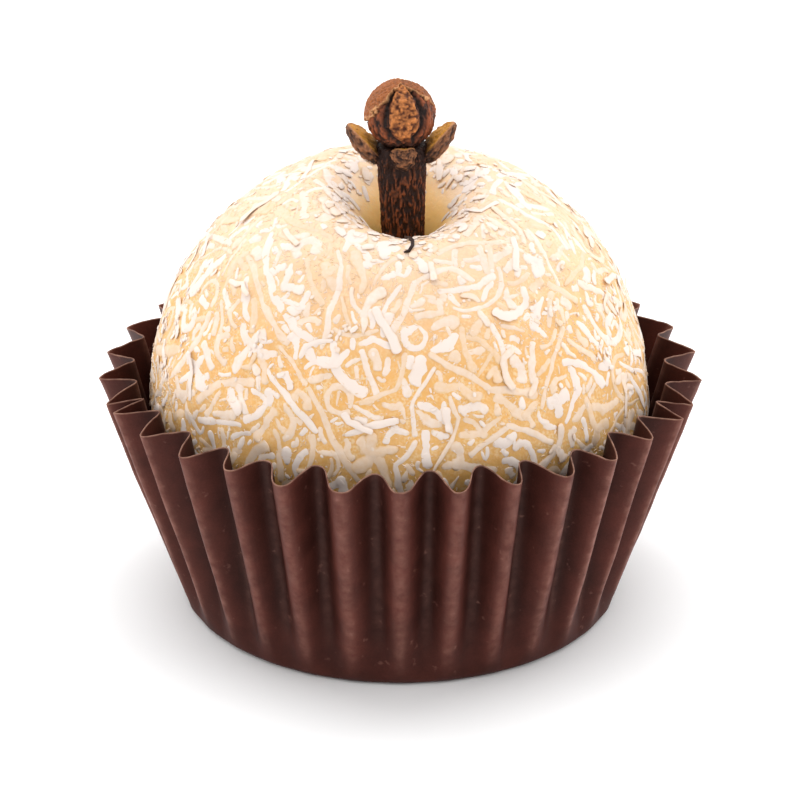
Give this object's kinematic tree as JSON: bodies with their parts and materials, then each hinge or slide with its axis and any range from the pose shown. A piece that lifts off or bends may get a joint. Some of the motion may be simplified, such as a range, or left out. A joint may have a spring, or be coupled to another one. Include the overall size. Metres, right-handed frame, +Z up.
{
  "type": "coconut brigadeiro",
  "caption": "Ball-shaped condensed-milk and coconut sweet in a dark pleated paper case, with a whole clove standing in a dimple on top.",
  "frame": {"origin": "middle of the underside of the paper case, on the surface it stands on", "axes": "+Z up through the ball, -Y towards the front, where the clove stands, +X to the right seen from the front"},
  "size_m": [0.0358, 0.0359, 0.0333],
  "materials": {
    "paper": "dark brown greaseproof paper, satin, pressed into pleats",
    "coconut_sweet": "pale yellow cooked condensed-milk sweet, rolled in white shredded coconut",
    "dried_clove": "dark brown dried flower bud, wrinkled and dull"
  },
  "bodies": {
    "root": {"paper_case": "paper", "coconut_ball": "coconut_sweet", "clove": "dried_clove"}
  },
  "joints": []
}
